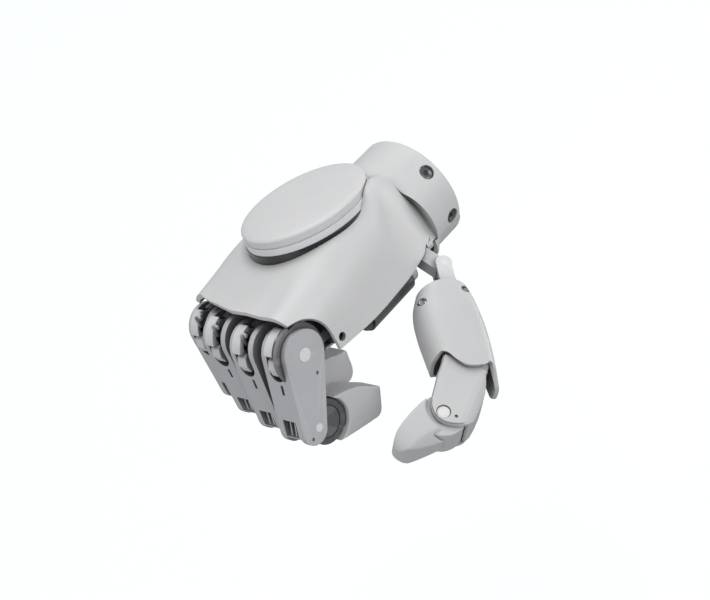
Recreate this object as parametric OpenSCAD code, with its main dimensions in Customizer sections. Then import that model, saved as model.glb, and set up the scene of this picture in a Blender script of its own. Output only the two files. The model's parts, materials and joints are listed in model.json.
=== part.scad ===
// Dexterous right hand, palm down, at its pinching pose.
// Origin: centre of the wrist face. +X runs out of the wrist towards the arm,
// +Y is the little-finger side, +Z is the back of the hand. Millimetres.

/* [Wrist] */
// Outer radius of the wrist cuff
cuff_r = 31.5; // [31:0.25:32]
// Outer radius of the adapter plate
adapter_r = 27; // [26.5:0.1:27.2]
// Pitch circle diameter of the four mounting holes
mount_pcd = 40; // [38:0.5:40]
// Radius of each mounting hole (M6 clearance)
mount_hole_r = 3.3; // [3.2:0.05:3.4]
// Number of radial screws that hold the cuff
cuff_screws = 6; // [6]

/* [Palm] */
// Wall thickness of the moulded covers
wall = 2.2; // [1.8:0.1:2.4]
// Half width of the palm on the thumb side
palm_wt = 43.5; // [43:0.25:44]
// Half width of the palm on the little-finger side
palm_wp = 41.5; // [41:0.25:42]
// Half length of the oval disc on the back
disc_a = 37; // [35:0.5:38]
// Half width of the oval disc on the back
disc_b = 31; // [29:0.5:32]
// Tilt of the disc, lower towards the wrist
disc_tilt = 4.5; // [3:0.5:6]

/* [Fingers] */
// Distance from knuckle axis to middle joint axis
prox_len = 38.1; // [37:0.1:39]
// Length of the outer phalanx from its axis to its tip
dist_len = 47; // [44:0.5:48]
// Width of index, middle and ring finger
finger_w = 17.5; // [17:0.1:17.8]
// Width of the little finger
little_w = 16; // [15.5:0.1:16.5]
// Radius of the knuckle ears
knuckle_r = 12.5; // [12:0.1:12.6]
// Radius of the knuckle pins
pin_r = 3; // [2.8:0.1:3.1]

/* [Thumb] */
// Distance from the root joint to the second joint
meta_len = 64.4; // [64:0.2:65]
// Distance from the second joint to the third joint
tprox_len = 32.4; // [32:0.1:32.8]
// Length of the thumb's outer phalanx
tdist_len = 29; // [28:0.25:30]
// Thickness of the thumb metacarpal across its axis
meta_w = 29; // [28.6:0.2:30]

/* [Hidden] */

$fn = 48;
e = 0.02;

// finger table: knuckle axis [x, y, z], flexion at knuckle, flexion at middle joint, width, length factor
F_INDEX  = [[-134, -32.3, 5],     68, 84.8, finger_w, 1];
F_MIDDLE = [[-135, -10.3, 6.5],   77, 94.7, finger_w, 1];
F_RING   = [[-133, 11.7, 8],      82, 100.2, finger_w, 1];
F_LITTLE = [[-127.5, 31.7, 6.5],  84, 102.4, little_w, 0.93];
FINGERS = [F_INDEX, F_MIDDLE, F_RING, F_LITTLE];

// thumb: root joint centre and rest angles
T_ROOT = [-36, -35.6, -20];
T_PSI = 36;
T_THETA = 41.9;
T_MCP = 33.2;
T_IP = 24.4;
T_ARM = 11;

// ---------- helper functions ----------
function lerp(a, b, t) = a + (b - a) * t;
function clamp01(t) = min(1, max(0, t));
function sstep(t) = let (u = clamp01(t)) u * u * (3 - 2 * u);
// piecewise-linear table lookup with smooth joins
function tab(x, T, i = 0) = x <= T[0][0] ? T[0][1]
  : i >= len(T) - 1 ? T[len(T) - 1][1]
  : x <= T[i + 1][0] ? lerp(T[i][1], T[i + 1][1], (x - T[i][0]) / (T[i + 1][0] - T[i][0]))
  : tab(x, T, i + 1);
function tabs(x, T) = (tab(x - 5, T) + 2 * tab(x - 2.5, T) + 2 * tab(x, T) + 2 * tab(x + 2.5, T) + tab(x + 5, T)) / 8;
function spow(v, p) = v < 0 ? -pow(-v, p) : pow(v, p);
// outline of two tangent circles: r1 at the origin, r2 at [x2, y2]
function capsule(r1, x2, y2, r2, n = 24) =
  let (d = norm([x2, y2]), a = atan2(y2, x2), b = acos((r1 - r2) / d))
  concat([for (i = [0:n]) let (t = a + b + (360 - 2 * b) * i / n) [r1 * cos(t), r1 * sin(t)]],
         [for (i = [0:n]) let (t = a - b + 2 * b * i / n) [x2 + r2 * cos(t), y2 + r2 * sin(t)]]);
// closed skin over rings of equal point count, each ring a closed loop
function ring_faces(n, m) = concat(
  [for (i = [0:n - 2], j = [0:m - 1]) let (k = (j + 1) % m) [i * m + j, i * m + k, (i + 1) * m + k, (i + 1) * m + j]],
  [[for (j = [m - 1:-1:0]) j]], [[for (j = [0:m - 1]) (n - 1) * m + j]]);

// ---------- palm shape ----------
// section tables by x: half widths, lower edge, top, roundness
WT = [[-134, palm_wt], [-100, palm_wt], [-80, palm_wt - 0.8], [-58, palm_wt - 3], [-45, palm_wt - 6.8], [-35, palm_wt - 10.8], [-27, 28.3], [-20, 27]];
WP = [[-134, palm_wp - 0.5], [-100, palm_wp], [-80, palm_wp - 0.5], [-58, palm_wp - 2], [-45, palm_wp - 4.8], [-35, palm_wp - 8], [-27, 29.4], [-20, 28]];
ZL = [[-134, -5], [-113, -7], [-90, -9.5], [-60, -10], [-40, -11], [-24, -14], [-18, -16], [0, -16]];
ZT = [[-134, 26.8], [-120, 29], [-104, 31.8], [-84, 35.6], [-62, 37.8], [-45, 38.6], [-34, 37.8], [-24, 34.2], [-16, 31.9], [0, 31.5]];
NN = [[-134, 4.4], [-104, 3.9], [-60, 3.6], [-40, 3.0], [-24, 2.4], [0, 2.4]];
NP = [[-134, 5.4], [-110, 5.5], [-99, 5.8], [-84, 4.8], [-60, 3.8], [-40, 3.0], [-24, 2.4], [0, 2.4]];
// point of the outer skin at station x, angle a (180 = thumb side edge, 0 = little-finger side edge), inset d
function se_pt(x, a, d) =
  let (w = (a > 90 ? tabs(x, WT) : tabs(x, WP)) - d, zl = tabs(x, ZL), h = tabs(x, ZT) - zl - d, p = 2 / tabs(x, a > 90 ? NN : NP))
  let (y = w * spow(cos(a), p), z = zl + h * pow(max(0, sin(a)), p) + ripple(x, y) * sstep((sin(a) - 0.35) / 0.4))
  [x, y, z + max(0, disc_z(x) - d - z) * rise(x, y) * sstep((sin(a) - 0.2) / 0.3)];
// the skin rises to the disc's rim at its wrist end
function disc_z(x) = DC[2] - (x - DC[0]) * sin(disc_tilt) - 0.5;
function rise(x, y) = let (q = norm([(x - DC[0]) / disc_a, y / disc_b])) sstep((1.42 - q) / 0.4) * sstep((x + 62) / 16);
// shallow swells over the knuckles
function ripple(x, y) = 0.5 * sstep((-101 - x) / 26) * cos(360 * (y + 32.3) / 22);
function cuff_pt(x, a, d) = let (b = -30.5 + a * 241 / 180, r = cuff_r - d - (d == 0 && x > -0.4 ? 0.7 : 0)) [x, r * cos(b), r * sin(b)];
// the cuff stands proud of the sides and blends into the top
function step_w(a) = lerp(20, 0.9, sstep((abs(a - 90) - 24) / 16));
STEP = [[0, -25], [12, -28], [24, -34], [27, -34.4], [31.5, -31.6], [37.5, -28.2], [45, -25.8], [54, -24], [61.5, -23], [69, -22.2], [79.5, -21.4], [90, -20.8]];
function step_x(a) = let (u = abs(a - 90)) (tab(u - 2, STEP) + 2 * tab(u, STEP) + tab(u + 2, STEP)) / 4;
function skin(x, a, d) = let (b = sstep((x - step_x(a)) / step_w(a) + 0.5), p = se_pt(x, a, d), q = cuff_pt(x, a, d), m = p + (q - p) * b, k = 1 - groove(x, a) / 34)
  [m[0], m[1] * k, m[2] * k];
// the hand dips under the lip of the cuff
LIP = [[20, 0], [26, 1.2], [32, 2.4], [45, 2.2], [60, 1], [90, 0.6]];
function groove(x, a) = let (v = x - step_x(a)) tab(abs(a - 90), LIP) * (v < -20 ? 0 : v < -0.15 ? exp((v + 0.15) / 5) : 1 - sstep((v + 0.15) / 0.3));
// front edge of the back cover: bowed over the knuckles, cut round at both sides
function front_x(a) = let (p = se_pt(-126, a, 0), y = p[1], z = p[2],
    base = y < -10 ? -134.3 + 0.0015 * pow(y + 10, 2) : -134.3 + 0.0044 * pow(min(y, 31) + 10, 2))
  z > 21.4 ? base : z > 5 ? base + sqrt(max(0, 16.5 * 16.5 - (z - 5) * (z - 5))) : base + 16.5;
SX = 37; // stations
SA = 48; // steps round
function a_of(j) = 180 - 180 * j / SA;
SN = [-29, -26.6, -25.3, -24.7, -24.35, -24.05, -23.7, -23, -21.5];
function st_x(i, a) = let (f = front_x(a), d = step_x(a) + 24.2) i < 24 ? lerp(f, SN[0] + d, i / 24) : i < 33 ? SN[i - 24] + d : i < 37 ? lerp(-18, -0.8, (i - 33) / 3) : 0;
module back_skin_closed() {
  m = 2 * (SA + 1);
  pts = [for (i = [0:SX]) each concat(
    [for (j = [0:SA]) skin(st_x(i, a_of(j)), a_of(j), 0)],
    [for (j = [SA:-1:0]) skin(st_x(i, a_of(j)), a_of(j), wall)])];
  side = [for (i = [0:SX - 1], j = [0:m - 1], t = [0, 1])
      let (k = (j + 1) % m, A = i * m + j, B = i * m + k, C = (i + 1) * m + k, D = (i + 1) * m + j) t == 0 ? [A, C, B] : [A, D, C]];
  // both end strips join the outer and inner edge
  cap0 = [for (j = [0:SA - 1], t = [0, 1]) let (o0 = j, o1 = j + 1, n0 = m - 1 - j, n1 = m - 2 - j) t == 0 ? [o0, o1, n1] : [o0, n1, n0]];
  q = SX * m;
  cap1 = [for (j = [0:SA - 1], t = [0, 1]) let (o0 = q + j, o1 = q + j + 1, n0 = q + m - 1 - j, n1 = q + m - 2 - j) t == 0 ? [o0, n1, o1] : [o0, n0, n1]];
  polyhedron(points = pts, faces = concat(side, cap0, cap1), convexity = 8);
}
// angles of the radial cuff screws, measured from +Y towards +Z
CUFF_A = [34, 146, 200, 340, 248, 292];
module cuff_holes(r, r0, r1) for (a = CUFF_A) translate([-7, 0, 0]) rotate([a - 90, 0, 0]) translate([0, 0, r0]) cylinder(h = r1 - r0, r = r);
module dorsal_shell() color([0.86, 0.86, 0.87]) resize([0, 0, 0]) difference() {
  back_skin_closed();
  in_disc() {
    translate([0, 0, -12.96]) linear_extrude(height = 8) polygon(oval(disc_a - 1.3, disc_b - 1.3));
    translate([0, 0, -7.26]) linear_extrude(height = 30) polygon(oval(disc_a + 0.12, disc_b + 0.12));
    intersection() { translate([0, 0, -12.96]) linear_extrude(height = 5.9) polygon(oval(disc_a + 0.5, disc_b + 0.5)); translate([-60, -40, -20]) cube([73.2, 80, 30]); }
  }
  cuff_holes(4.1, 25, 36);
  // notch in the lower edge over the thumb's swinging yoke
  translate([-41.2, AX_Y, AX_Z]) rotate([T_PSI - 10, 0, 0]) translate([0, -26, -26]) cube([9.9, 27.6, 31]);
  // clearance round the end of the yoke's shaft
  translate([-31.6, AX_Y, AX_Z]) rotate([0, 90, 0]) cylinder(h = 5.6, r = 3.5);
  for (p = EDGE_SCREWS) translate(p) rotate([90, 0, 0]) cylinder(h = 16, r = 2.3, center = true);
}
// lower cover: shallow pan under the palm, half cuff behind
ZB = [[-118, -10.5], [-108, -12], [-88, -13.2], [-76, -16], [-60, -21], [-40, -25], [-24, -28.5], [-18, -31.2], [0, -31.5]];
PWT = [[-118, 33], [-90, 33], [-76, 29], [-60, 24], [-44, 22], [-30, 25], [-22, 28]];
function pal_pt(x, a, d) =
  let (w = (a > 90 ? tabs(x, PWT) : tabs(x, WP) - 2.6) - d, zl = tabs(x, ZL) - 0.4, h = tabs(x, ZB) - zl + d, p = 2 / 3.4)
  [x, w * spow(cos(a), p), zl + h * pow(max(0, sin(a)), p)];
function palcuff_pt(x, a, d) = let (b = 211 + (180 - a) * 118 / 180, r = cuff_r - d) [x, r * cos(b), r * sin(b)];
function pskin(x, a, d) = let (b = sstep((x + 23) / 4)) pal_pt(x, a, d) * (1 - b) + palcuff_pt(x, a, d) * b;
PX = 20;
PA = 28;
module pan_skin() {
  m = 2 * (PA + 1);
  pa = function (j) 180 - 180 * j / PA;
  px = function (i) i < 14 ? lerp(-117, -26, i / 14) : lerp(-26, 0, (i - 14) / 6);
  pts = [for (i = [0:PX]) each concat(
    [for (j = [0:PA]) pskin(px(i), pa(j), 0)],
    [for (j = [PA:-1:0]) pskin(px(i), pa(j), wall)])];
  side = [for (i = [0:PX - 1], j = [0:m - 1], t = [0, 1])
      let (k = (j + 1) % m, A = i * m + j, B = i * m + k, C = (i + 1) * m + k, D = (i + 1) * m + j) t == 0 ? [A, B, C] : [A, C, D]];
  cap0 = [for (j = [0:PA - 1], t = [0, 1]) let (o0 = j, o1 = j + 1, n0 = m - 1 - j, n1 = m - 2 - j) t == 0 ? [o0, n1, o1] : [o0, n0, n1]];
  q = PX * m;
  cap1 = [for (j = [0:PA - 1], t = [0, 1]) let (o0 = q + j, o1 = q + j + 1, n0 = q + m - 1 - j, n1 = q + m - 2 - j) t == 0 ? [o0, o1, n1] : [o0, n1, n0]];
  polyhedron(points = pts, faces = concat(side, cap0, cap1), convexity = 8);
}
AX_Y = T_ROOT[1] + T_ARM * cos(T_PSI);
AX_Z = T_ROOT[2] + T_ARM * sin(T_PSI);
module palmar_cover() color([0.83, 0.83, 0.85]) resize([0, 0, 0]) difference() {
  pan_skin();
  cuff_holes(4.1, 25, 36);
  // room for the thumb's swing
  translate([-52.8, AX_Y, AX_Z]) rotate([0, 90, 0]) cylinder(h = 30, r = 20);
  translate([-52.8, -60, -50]) cube([30, 33, 44]);
  // seat of the thumb motor
  translate([-89, AX_Y, AX_Z]) rotate([0, 90, 0]) cylinder(h = 60, r = 10.4);
  for (p = PALM_SCREWS) translate([p[0], p[1], -40]) cylinder(h = 60, r = 1.4);
  for (p = PALM_SCREWS) translate([p[0], p[1], -50]) cylinder(h = 50 + p[2] + 1.2, r = 2.6);
}
EDGE_SCREWS = [[-112, -43, -2], [-112, 41, -2]];
PALM_SCREWS = [[-100, 20, -12.4], [-100, -12, -12.4], [-66, 24, -18.6], [-40, 14, -24.2]];
module cover_screws() color([0.35, 0.35, 0.37]) {
  for (p = PALM_SCREWS) translate([p[0], p[1], p[2] - 0.4]) { cylinder(h = 1.5, r = 2.4); cylinder(h = -p[2] - 7.9, r = 1.2); }
  for (p = EDGE_SCREWS) translate([p[0], sign(p[1]) * 38.2, p[2]]) rotate([sign(p[1]) * 90, 0, 0]) cylinder(h = 3.2, r = 2);
}

// ---------- oval disc on the back ----------
DC = [-66.5, 0, 40.8];
function oval(a, b, n = 72) = [for (i = [0:n - 1]) [a * cos(360 * i / n), b * sin(360 * i / n)]];
module in_disc() translate(DC) rotate([0, disc_tilt, 0]) children();
module disc_cap() color([0.88, 0.88, 0.88]) in_disc() {
  n = 60;
  prof = [[0.5, -3.54], [0.96, -3.54], [0.985, -3.4], [0.992, -3.1], [0.992, -0.5], [1, -0.3], [1.004, 0.1], [1, 0.55], [0.988, 1.05], [0.96, 1.5], [0.91, 1.9], [0.8, 2.3], [0.55, 2.65], [0.25, 2.8]];
  m = len(prof);
  pts = concat([[0, 0, -3.54]], [for (k = [0:m - 1], i = [0:n - 1]) let (t = 360 * i / n) [prof[k][0] * (disc_a - 0.3) * cos(t), prof[k][0] * (disc_b - 0.3) * sin(t), prof[k][1]]], [[0, 0, 2.85]]);
  fs = concat([for (i = [0:n - 1]) [0, 1 + i, 1 + (i + 1) % n]],
    [for (k = [0:m - 2], i = [0:n - 1], t = [0, 1]) let (A = 1 + k * n + i, B = 1 + k * n + (i + 1) % n, C = B + n, D = A + n) t == 0 ? [A, C, B] : [A, D, C]],
    [for (i = [0:n - 1]) [1 + m * n, 1 + (m - 1) * n + (i + 1) % n, 1 + (m - 1) * n + i]]);
  polyhedron(points = pts, faces = fs, convexity = 4);
}
module oval_tube(a, b, w, h0, h1) translate([0, 0, h0]) linear_extrude(height = h1 - h0) difference() {
  polygon(oval(a, b)); polygon(oval(a - w, b - w));
}
module disc_ring() color([0.8, 0.8, 0.84]) in_disc() {
  translate([0, 0, -7.2]) linear_extrude(height = 3.6) polygon(oval(disc_a, disc_b));
}
module disc_band() color([0.08, 0.08, 0.09]) in_disc() intersection() {
  oval_tube(disc_a + 0.4, disc_b + 0.4, 1.8, -12.9, -7.25);
  translate([-60, -40, -20]) cube([73, 80, 30]);
}

// ---------- wrist ----------
module wrist_ring() color([0.7, 0.71, 0.73]) difference() {
  translate([-16, 0, 0]) rotate([0, 90, 0]) cylinder(h = 15.7, r = cuff_r - wall - 0.2, $fn = 96);
  translate([-17, 0, 0]) rotate([0, 90, 0]) cylinder(h = 12.1, r = 24.5, $fn = 96);
  translate([-5, 0, 0]) rotate([0, 90, 0]) cylinder(h = 6, r = adapter_r + 0.05, $fn = 96);
  cuff_holes(1.6, 20, 36);
}
module wrist_adapter() color([0.62, 0.63, 0.66]) difference() {
  translate([-4.8, 0, 0]) rotate([0, 90, 0]) cylinder(h = 4.8, r = adapter_r, $fn = 96);
  translate([-6, 0, 0]) rotate([0, 90, 0]) cylinder(h = 8, r = 9, $fn = 64);
  for (i = [0:3]) rotate([45 + 90 * i, 0, 0]) translate([-6, mount_pcd / 2, 0]) rotate([0, 90, 0]) cylinder(h = 8, r = mount_hole_r);
  for (i = [0:3]) rotate([90 * i, 0, 0]) translate([-6, mount_pcd / 2 + 4.2, 0]) rotate([0, 90, 0]) cylinder(h = 8, r = 1.3);
}
module cuff_screw_set() color([0.12, 0.12, 0.13]) for (a = CUFF_A) translate([-7, 0, 0]) rotate([a - 90, 0, 0]) {
  translate([0, 0, 23.5]) cylinder(h = 6, r = 1.55);
  difference() { translate([0, 0, 29.4]) cylinder(h = 0.9, r = 3.3); translate([0, 0, 29.9]) cylinder(h = 3, r = 1.6, $fn = 6); }
}
module wrist_connector() color([0.15, 0.15, 0.17]) {
  difference() {
    translate([-12, 0, 0]) rotate([0, 90, 0]) cylinder(h = 9, r = 8.6);
    translate([-9, 0, 0]) rotate([0, 90, 0]) cylinder(h = 10, r = 7);
  }
  for (i = [0:7]) rotate([45 * i, 0, 0]) translate([-9.5, 4.2, 0]) rotate([0, 90, 0]) cylinder(h = 5, r = 0.6, $fn = 16);
}

// ---------- palm inside ----------
module palm_frame() color([0.55, 0.56, 0.59]) difference() {
  union() {
    translate([-106, -36, -8]) cube([56, 70, 3]);
    translate([-51, -16, -8]) cube([33, 36, 3]);
    translate([-106, 1, -5 - e]) cube([90, 3, 9]);
    // bulkheads that hold the motors
    translate([-99, -36.5, -5 - e]) cube([3, 70.8, 25]);
    translate([-67, -35.5, -5 - e]) cube([3, 70, 25]);
    // wrist end plate that bolts to the wrist ring
    translate([-20.2, 0, 0]) rotate([0, 90, 0]) intersection() { cylinder(h = 4, r = 26.4, $fn = 72); translate([-40, -40, -1]) cube([50, 80, 6]); }
    // disc posts
    for (p = [[-88, 0, 34.9], [-50, 8, 31.7]]) translate([p[0], p[1], -5 - e]) cylinder(h = p[2] + 5, r = 2.6);
  }
  translate([-22, 0, 0]) rotate([0, 90, 0]) cylinder(h = 8, r = 12);
  for (f = FINGERS) translate([-110, f[0][1], f[0][2] + ROD_Z]) rotate([0, 90, 0]) { cylinder(h = 38, r = 5.28); cylinder(h = 60, r = 4.28); }
  // clearance for the thumb motor and its swing
  translate([-90, AX_Y, AX_Z]) rotate([0, 90, 0]) cylinder(h = 75, r = 10.2);
  translate([-52.8, AX_Y, AX_Z]) rotate([0, 90, 0]) cylinder(h = 30, r = 19.5);
  translate([-60, -40, -9]) cube([44, 17, 6]);
}
module knuckle_block() color([0.78, 0.79, 0.8]) difference() {
  union() {
    translate([-113, -39.2, -7]) cube([6.9, 77, 10]);
    for (f = FINGERS) translate(f[0]) {
      rotate([90, 0, 0]) cylinder(h = 9.8, r = 6.2, center = true);
      translate([0, -4.9, -6.2]) cube([-108 - f[0][0], 9.8, 5.4]);
    }
    // bearing drum beside the index knuckle
    translate([F_INDEX[0][0], F_INDEX[0][1] - 4.1, F_INDEX[0][2]]) rotate([90, 0, 0]) cylinder(h = 2.2, r = 15.3, center = true, $fn = 72);
  }
  translate([-133.4, -60, 19]) cube([40, 60, 10]);
  for (f = FINGERS) translate(f[0]) rotate([90, 0, 0]) cylinder(h = 30, r = pin_r + 0.04, center = true);
  for (f = FINGERS) translate([-115, f[0][1], f[0][2] + ROD_Z]) rotate([0, 90, 0]) cylinder(h = 12, r = 3.2);
  for (s = EDGE_SCREWS) translate(s) rotate([90, 0, 0]) cylinder(h = 16, r = 2.3, center = true);
}
ROD_Z = 9; // drive axis above the knuckle axis
module finger_motors() color([0.3, 0.31, 0.33]) for (f = FINGERS) translate([0, f[0][1], f[0][2] + ROD_Z]) rotate([0, 90, 0]) difference() {
  union() {
    translate([0, 0, -101]) cylinder(h = 25, r = 5.2);
    translate([0, 0, -76 - e]) cylinder(h = 14, r = 4.2);
  }
  translate([0, 0, -102]) cylinder(h = 34, r = 2.6);
}
module control_board() color([0.05, 0.3, 0.15]) {
  difference() {
    translate([-93, -25, 25]) cube([46, 50, 1.6]);
    for (p = [[-88, 0], [-50, 8]]) translate([p[0], p[1], 24]) cylinder(h = 4, r = 2.8);
  }
  translate([-78, -6, 26.6 - e]) cube([12, 12, 1.2]);
  translate([-62, 6, 26.6 - e]) cube([6, 8, 1.8]);
  for (s = [-1, 1]) translate([-92, s * 12 - 7, 26.6 - e]) cube([5, 14, 1.6]);
  for (i = [0:4]) translate([-80 + 6 * i, -20, 26.6 - e]) cube([3, 4, 1]);
}
module thumb_motor() color([0.85, 0.86, 0.88]) {
  translate([-86, AX_Y, AX_Z]) rotate([0, 90, 0]) cylinder(h = 33.5, r = 9.8);
  translate([-87.5, AX_Y, AX_Z]) rotate([0, 90, 0]) cylinder(h = 1.5 + e, r = 8.6);
}

// ---------- fingers ----------
// local frame: +x along the phalanx, +z to its back, +y towards the thumb side
module at_mcp(f) translate(f[0]) rotate([0, -f[1], 0]) rotate([0, 0, 180]) children();
PZ = -1.4; // middle joint lies slightly to the palm side
module at_pip(f) at_mcp(f) translate([prox_len * f[4], 0, PZ]) rotate([0, f[2], 0]) children();
module ycyl(r, w, fn = 48) rotate([90, 0, 0]) cylinder(h = w, r = r, center = true, $fn = fn);
module yext(w) rotate([90, 0, 0]) linear_extrude(height = w, center = true) children();
HI = 5.3; // half width of the knuckle slot
module proximal(f) {
  k = f[4]; w = f[3]; h = w / 2 - 3.2; hi = min(HI, w / 2 - 2.7);
  L = prox_len * k;
  at_mcp(f) difference() {
    yext(w) polygon(capsule(knuckle_r * (k < 1 ? 0.95 : 1), L + 0.4, 1.3, 7.7));
    // knuckle slot, open over the back, round at its end
    translate([-20, -hi, -30]) cube([26, 2 * hi, 60]);
    intersection() {
      translate([6, 0, -30]) cylinder(h = 60, r = hi);
      translate([0, -20, -30]) cube([20, 40, 60]);
    }
    // deeper pocket behind the skin
    translate([5, -hi, -30]) cube([11.5, 2 * hi, 37]);
    if (f[0][1] < -20) translate([0, 4.1, 0]) ycyl(15.6, 2.8);
    // channel for the coupling
    translate([10, -2.6, -2.5]) cube([24, 5.2, 5]);
    // slot window on the back
    translate([15.6 * k, 1.2, 8]) cube([5.2, 1.7, 14], center = true);
    // window over the middle joint, with two ribs left standing
    difference() {
      translate([32.2 * k, -h + 0.9, 4]) cube([8.6, 2 * h - 1.8, 12]);
      for (y = [-1.3, 1.9]) translate([28 * k, y - 0.45, 0]) cube([16, 0.9, 7.9]);
    }
    // middle joint: room for the core at every angle
    for (t = [8, 28, 48, 68, 88, 108, 116]) translate([L + 8.4 * cos(t), 0, PZ - 8.4 * sin(t)]) ycyl(11.9, 2 * h);
    translate([L, 0, PZ]) ycyl(8.4, 2 * h);
    ycyl(pin_r, w + 2);
    translate([L, 0, PZ]) ycyl(2.2, w + 2);
    // cross dowel of the crank
    translate([CRX, -w / 4, CRZ]) ycyl(1, w / 2 - 1.6, 32);
    // recess round the knuckle pin cap
    for (s = [-1, 1]) translate([0, s * w / 2, 0]) ycyl(pin_r + 0.6, 0.8);
    // small blind pin holes
    for (q = [[11.2, -5.7], [L + 4.4, 3.6]]) translate([q[0], w / 2, q[1]]) ycyl(0.9, 1.6, 20);
  }
}
CRX = 4.4; CRZ = 10.6; // crank dowel
HR0 = 11.6; HR1 = 14.5; HRP = 12.8; // horn band and its driving stud
// curved horn: a band round the knuckle, driven by its stud
module horn(f) color([0.85, 0.86, 0.88]) at_mcp(f) {
  {
    translate([0, -1.9, 0]) yext(6.2) polygon(concat(
      [for (i = [0:20]) let (t = 98.5 + 63.5 * i / 20, q = HR1 - (f[4] < 1 ? 1.3 : 0)) [q * cos(t), q * sin(t)]],
      [for (i = [20:-1:0]) let (t = 98.5 + 63.5 * i / 20, q = HR0 - 1.8 * pow(clamp01((114 - t) / 15.5), 1.4)) [q * cos(t), q * sin(t)]]));
  }
  translate([HRP * cos(140), 1.9, HRP * sin(140)]) ycyl(1.2, 1.6, 32);
}
module crank(f) color([0.87, 0.87, 0.89]) at_mcp(f) {
  translate([0, -1.2, 0]) yext(6.2) polygon([[-1.2, 10.6], [0.6, 12.6], [5, 13.2], [8.8, 11.2], [8.6, 8.7], [3, 8.9], [-0.8, 9.3]]);
  translate([CRX, -4.1, CRZ]) ycyl(1, min(f[3] / 2 - 0.9, 8) - 1, 32);
}
// sliding rod: fork beside the horn, shank in the motor
function rod_x(f) = f[0][0] - 11.9 * (f[1] - 50) * PI / 180;
module rod(f) color([0.6, 0.61, 0.64]) translate([rod_x(f), f[0][1] - 2.1, f[0][2]]) {
  {
    yext(1.2) polygon([[-2.8, 7.2], [-2.8, 13.4], [-1.48, 13.9], [-1.48, 7.9], [1.48, 7.9], [1.48, 13.9], [3.4, 13.2], [6, 11.1], [12, 11.1], [12, 7.2]]);
  }
  translate([7.8, -0.6, 7]) cube([4.2, 4.9, 4.1]);
  translate([11, 2.1, ROD_Z]) rotate([0, 90, 0]) cylinder(h = -84 - 11 - rod_x(f), r = 2);
}
function pip_w(f) = f[3] - 6.4 - 0.5;
module mcp_pin(f) color([0.92, 0.92, 0.92]) at_mcp(f) { ycyl(pin_r, f[3]); for (s = [-1, 1]) translate([0, s * (f[3] / 2 - 0.1), 0]) ycyl(pin_r + 0.55, 0.55); }
module pip_pin(f) color([0.92, 0.92, 0.92]) at_mcp(f) translate([prox_len * f[4], 0, PZ]) ycyl(2.2, f[3] + 0.1, 32);
DR = 11.5;
// profile of the outer phalanx in its own x, z plane (pad side is -z)
function tip_prof(k) = let (s = dist_len / 47 * k)
  concat([for (i = [0:8]) let (u = i / 8) [lerp(8.4, 38, u) * s, lerp(DR, 6.2, pow(u, 1.25))]],
         [for (i = [1:8]) let (t = 90 - i * 17) [(38 + 9 * cos(t)) * s, -2.6 + 8.8 * sin(t)]],
         [for (i = [0:8]) let (u = i / 8) [lerp(36, 8.4, u) * s, -11.1 - 2.1 * sin(180 * pow(u, 0.8)) - 0.4 * u]]);
module core(f) {
  k = f[4]; hw = pip_w(f);
  at_pip(f) difference() {
    union() {
      translate([8.4, 0, 0]) ycyl(DR, hw);
      translate([8.4, -hw / 2, -7]) cube([24 * k, hw, 12]);
    }
    ycyl(2.24, 40, 32);
    for (s = [-1, 1]) translate([8.4, s * hw / 2, 0]) difference() { ycyl(8.6, 1.2); ycyl(7.8, 3); }
  }
}
module tip(f) {
  k = f[4]; w = f[3] - 0.7; hw = pip_w(f);
  at_pip(f) difference() {
    intersection() {
      yext(w) polygon(tip_prof(k));
      translate([0, 0, -30]) linear_extrude(height = 60) polygon(concat([for (i = [0:16]) let (t = 90 - 180 * i / 16) [dist_len * k - 11 + 11 * spow(cos(t), 0.8), (w / 2) * spow(sin(t), 0.8)]], [[0, -w / 2], [0, w / 2]]));
    }
    translate([8.4, 0, 0]) ycyl(DR + 0.6, 40);
    translate([0, -hw / 2 - 0.02, -7.02]) cube([8.4 + 24 * k + 0.02, hw + 0.04, 12.04]);
  }
}
FC = [0.74, 0.74, 0.77];
TC = [0.8, 0.8, 0.81];
DCOL = [0.25, 0.26, 0.28];

// ---------- thumb ----------
// swing frame: +x towards the fingers, +z outward, +y away from the back
module at_swing() translate(T_ROOT) rotate([T_PSI, 0, 0]) rotate([-90, 0, 180]) children();
module at_meta() at_swing() rotate([0, T_THETA - 90, 0]) children();
module at_tprox() at_meta() translate([meta_len, 0, 0]) rotate([0, T_MCP, 0]) children();
module at_tip() at_tprox() translate([tprox_len, 0, 0]) rotate([0, T_IP, 0]) children();
YL = 4; // half width of the yoke lug
RP = 4.4; // root pivot beyond the swing frame's origin
RPM = [RP * cos(T_THETA), 0, RP * sin(T_THETA)];
module thumb_yoke() color([0.8, 0.81, 0.83]) at_swing() difference() {
  union() {
    translate([11.2, 0, -T_ARM]) rotate([0, 90, 0]) cylinder(h = 5.2, r = 8);
    translate([-9.5, 0, -T_ARM]) rotate([0, 90, 0]) cylinder(h = 24, r = 3);
    translate([-3.5, -YL, -T_ARM - 4]) cube([14.8, 2 * YL, 6]);
    translate([-3.5, -YL, -T_ARM]) cube([8, 2 * YL, T_ARM + RP - 1]);
    translate([0, 0, RP]) ycyl(4.2, 2 * YL);
  }
  translate([0, 0, RP]) ycyl(2.04, 40);
}
module thumb_root_pin() color([0.9, 0.9, 0.9]) at_swing() translate([0, 0, RP]) ycyl(2, 2 * YL + 6);
FW = 8.1; // half width of the frame's outer lug
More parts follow.
